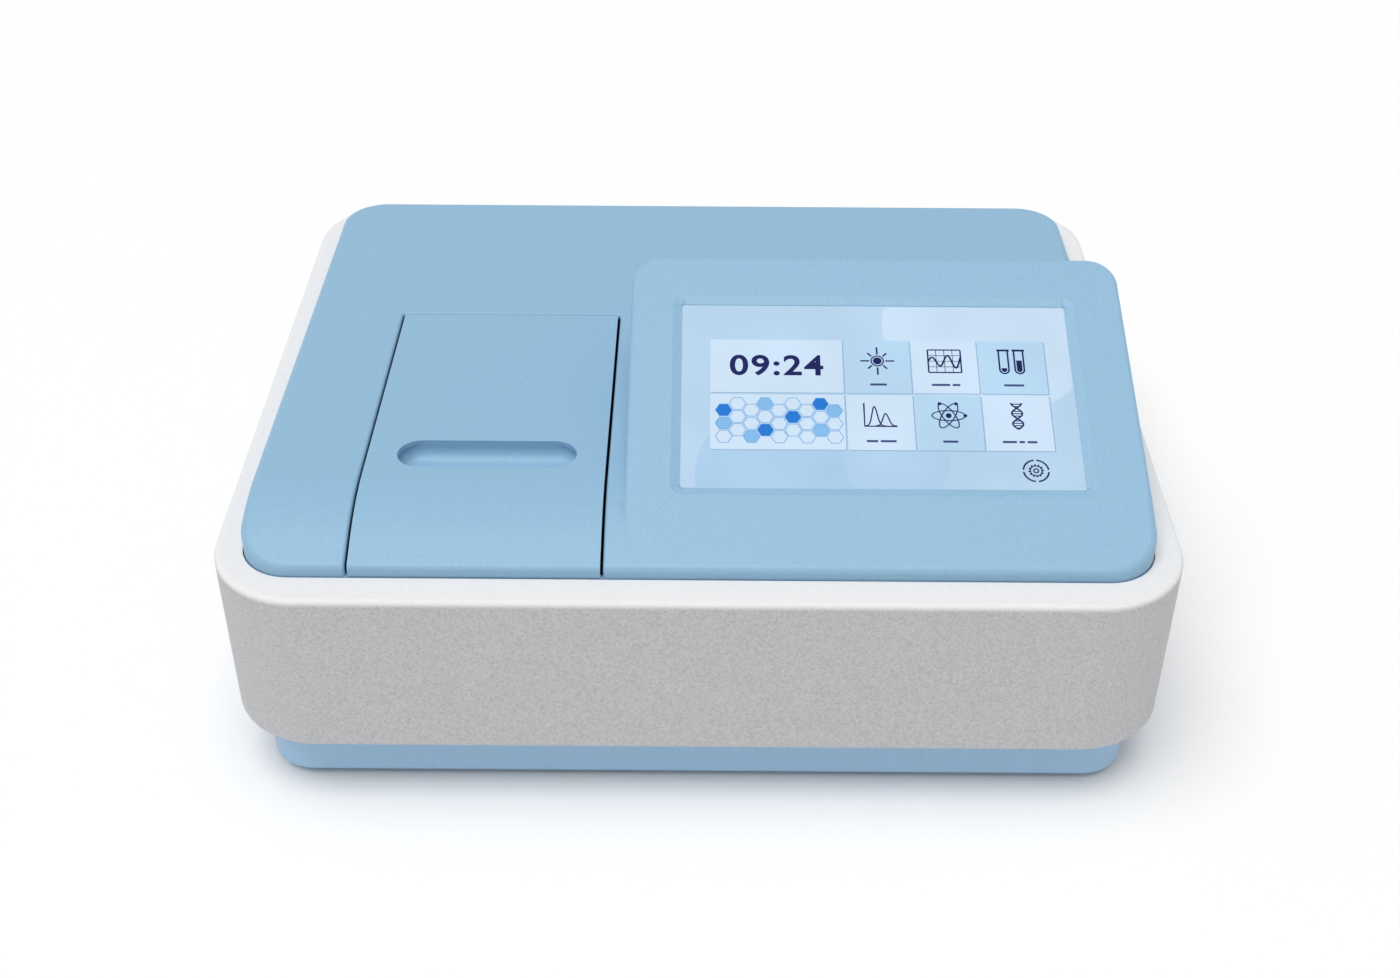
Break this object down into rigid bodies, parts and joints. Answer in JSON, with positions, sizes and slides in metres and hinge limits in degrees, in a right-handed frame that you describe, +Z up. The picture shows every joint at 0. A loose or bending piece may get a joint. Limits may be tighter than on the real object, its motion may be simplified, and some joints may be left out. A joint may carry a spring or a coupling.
{
  "type": "double beam spectrophotometer",
  "caption": "Bench spectrophotometer: a wide rounded case with a wrap-round belt, a lift-up lid over a sample compartment with two cuvette holders, and a touch screen on a raised wedge.",
  "frame": {"origin": "centre of the footprint, on the surface that the rubber feet stand on", "axes": "+X to the user's right along the width, +Y to the back, +Z up"},
  "size_m": [0.53, 0.446, 0.2296],
  "materials": {
    "blue_plastic": "satin painted plastic in light blue",
    "grey_shell": "fine textured light grey",
    "black_rubber": "matt",
    "black_foam": "soft matt foam",
    "screen_glass": "clear cover glass over the lit screen",
    "module_metal": "plain",
    "zinc_sheet": "zinc-plated sheet",
    "circuit_board": "solder-masked board",
    "black_anodised": "black anodised, matt",
    "silica": "polished fused silica",
    "steel_pin": "bright steel",
    "cast_alloy": "cast alloy, as cast",
    "panel_paint": "powder-coated grey",
    "black_plastic": "moulded black",
    "chrome_wire": "plated",
    "rocker_plastic": "glossy black rocker",
    "black_paint": "matt black",
    "mirror_coat": "front-silvered",
    "machined_alloy": "machined",
    "brass_nut": "turned",
    "motor_steel": "rolled steel can",
    "ceramic_white": "unglazed",
    "lamp_glass": "clear quartz glass"
  },
  "bodies": {
    "casing": {"base_tray": "blue_plastic", "beam_splitter": "silica", "beam_windows": "silica", "belt_shell": "grey_shell", "bench_screws": "steel_pin", "cell_carrier": "black_anodised", "collimating_mirror": "mirror_coat", "compartment_well": "black_anodised", "data_sockets": "chrome_wire", "detector_board": "circuit_board", "detector_housing": "cast_alloy", "detector_lenses": "silica", "deuterium_lamp": "lamp_glass", "display_board": "circuit_board", "display_pan": "zinc_sheet", "divider_base": "black_anodised", "fan_frame": "black_plastic", "fan_guard": "chrome_wire", "fan_screws": "steel_pin", "filter_motor": "motor_steel", "focusing_mirror": "mirror_coat", "fold_mirrors": "mirror_coat", "grating_motor": "motor_steel", "halogen_lamp": "lamp_glass", "hinge_bracket": "zinc_sheet", "hinge_pin": "steel_pin", "lamp_cover": "machined_alloy", "lamp_house": "cast_alloy", "lamp_sockets": "ceramic_white", "lamp_supply": "circuit_board", "lcd_module": "module_metal", "lid_seal": "black_foam", "main_board": "circuit_board", "mirror_motor": "motor_steel", "mono_cover": "black_paint", "mono_housing": "cast_alloy", "optical_bench": "cast_alloy", "panel_screws": "steel_pin", "photodiodes": "motor_steel", "power_inlet": "black_plastic", "power_supply": "zinc_sheet", "rear_panel": "panel_paint", "reference_holder": "black_anodised", "rubber_feet": "black_rubber", "sample_fold_mirror": "mirror_coat", "sample_holder": "black_anodised", "slit_plates": "black_paint", "switch_frame": "black_plastic", "top_cover": "blue_plastic", "touch_glass": "screen_glass"},
    "lid": {"sample_lid": "blue_plastic"},
    "rocker": {"power_rocker": "rocker_plastic"},
    "fan": {"fan_rotor": "black_plastic"},
    "source_mirror_body": {"source_mirror": "mirror_coat"},
    "filter_wheel_body": {"filter_wheel": "machined_alloy"},
    "grating_body": {"grating_table": "machined_alloy", "grating": "mirror_coat"},
    "screw_body": {"lead_screw": "steel_pin"},
    "nut_body": {"drive_nut": "brass_nut"}
  },
  "joints": [
    {"name": "lid_hinge", "type": "hinge", "parent": "casing", "child": "lid", "pos_m": [-0.12, 0.0148, 0.15693], "axis": [-1, 0, 0], "range_deg": [0, 75]},
    {"name": "power_switch", "type": "hinge", "parent": "casing", "child": "rocker", "pos_m": [-0.108, 0.2135, 0.092], "axis": [1, 0, 0], "range_deg": [-8, 8]},
    {"name": "fan_spin", "type": "hinge", "parent": "casing", "child": "fan", "pos_m": [0.15, 0.21, 0.092], "axis": [0, 1, 0], "continuous": true},
    {"name": "source_mirror_turn", "type": "hinge", "parent": "casing", "child": "source_mirror_body", "pos_m": [0.192, 0.02, 0.08], "axis": [0, 0, 1], "range_deg": [-23, 23]},
    {"name": "filter_turn", "type": "hinge", "parent": "casing", "child": "filter_wheel_body", "pos_m": [0.129, 0.02, 0.083], "axis": [1, 0, 0], "continuous": true},
    {"name": "nut_travel", "type": "slide", "parent": "casing", "child": "nut_body", "axis": [0, 1, 0], "range_m": [-0.0096, 0.0096]},
    {"name": "screw_turn", "type": "hinge", "parent": "casing", "child": "screw_body", "pos_m": [-0.01, 0.022, 0.062], "axis": [0, 1, 0], "range_deg": [-1729, 1729]},
    {"name": "grating_turn", "type": "hinge", "parent": "casing", "child": "grating_body", "pos_m": [0.045, 0.02, 0.06], "axis": [0, 0, 1], "range_deg": [-10.1, 10.1]}
  ],
  "couplings": [
    {"joint": "screw_turn", "follows": "nut_travel", "rad_per_m": 3141.6},
    {"joint": "grating_turn", "follows": "nut_travel", "rad_per_m": -18.182}
  ]
}
